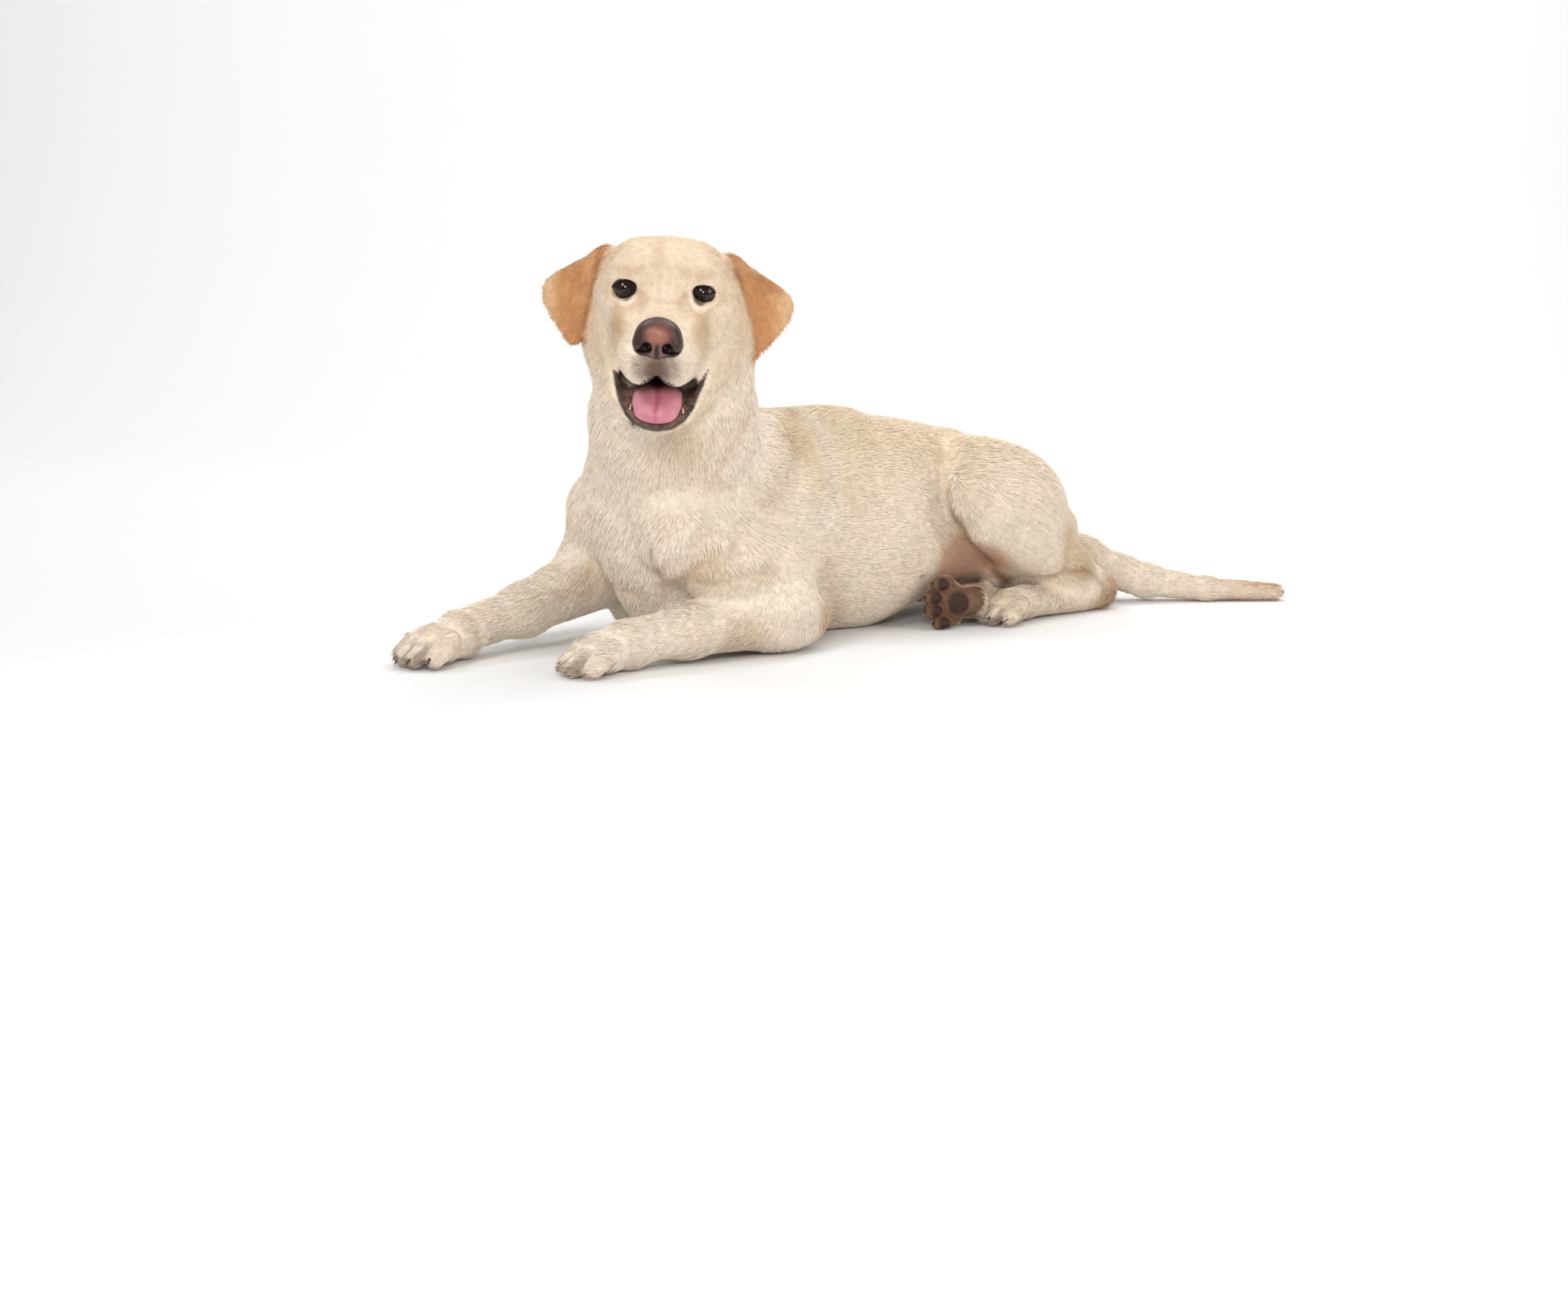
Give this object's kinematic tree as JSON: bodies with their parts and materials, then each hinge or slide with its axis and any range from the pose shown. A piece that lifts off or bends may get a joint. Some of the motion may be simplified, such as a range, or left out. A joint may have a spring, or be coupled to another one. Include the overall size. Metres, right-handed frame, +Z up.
{
  "type": "labrador retriever",
  "caption": "Life-size still model of a Labrador retriever lying on its chest, forelegs out in front, hips rolled to one side, head turned with the mouth open.",
  "frame": {"origin": "middle of the bounding box, on the floor plane", "axes": "+Z up; -X the way the trunk points, from rump to chest; -Y the dog's left, the side its head is turned to"},
  "size_m": [1.1091, 0.3804, 0.446],
  "materials": {
    "coat": null,
    "ear_coat": "short fine orange-tan coat",
    "eye": "wet, dark brown",
    "nose_leather": "damp pebbled skin, brown with a pink middle",
    "tongue": "wet, pink",
    "claw": "dark horn"
  },
  "bodies": {
    "root": {"ear_left": "ear_coat", "ear_right": "ear_coat", "eye_left": "eye", "eye_right": "eye", "foreleg_left": "coat", "foreleg_right": "coat", "forepaw_left": "coat", "forepaw_left_claw_1": "claw", "forepaw_left_claw_2": "claw", "forepaw_left_claw_3": "claw", "forepaw_left_claw_4": "claw", "forepaw_right": "coat", "forepaw_right_claw_1": "claw", "forepaw_right_claw_2": "claw", "forepaw_right_claw_3": "claw", "forepaw_right_claw_4": "claw", "head": "coat", "hindleg_left": "coat", "hindleg_right": "coat", "hindpaw_left": "coat", "hindpaw_left_claw_1": "claw", "hindpaw_left_claw_2": "claw", "hindpaw_left_claw_3": "claw", "hindpaw_left_claw_4": "claw", "hindpaw_right": "coat", "hindpaw_right_claw_1": "claw", "hindpaw_right_claw_2": "claw", "hindpaw_right_claw_3": "claw", "hindpaw_right_claw_4": "claw", "lower_jaw": "coat", "neck": "coat", "nose": "nose_leather", "tail": "coat", "tongue": "tongue", "trunk": "coat"}
  },
  "joints": []
}
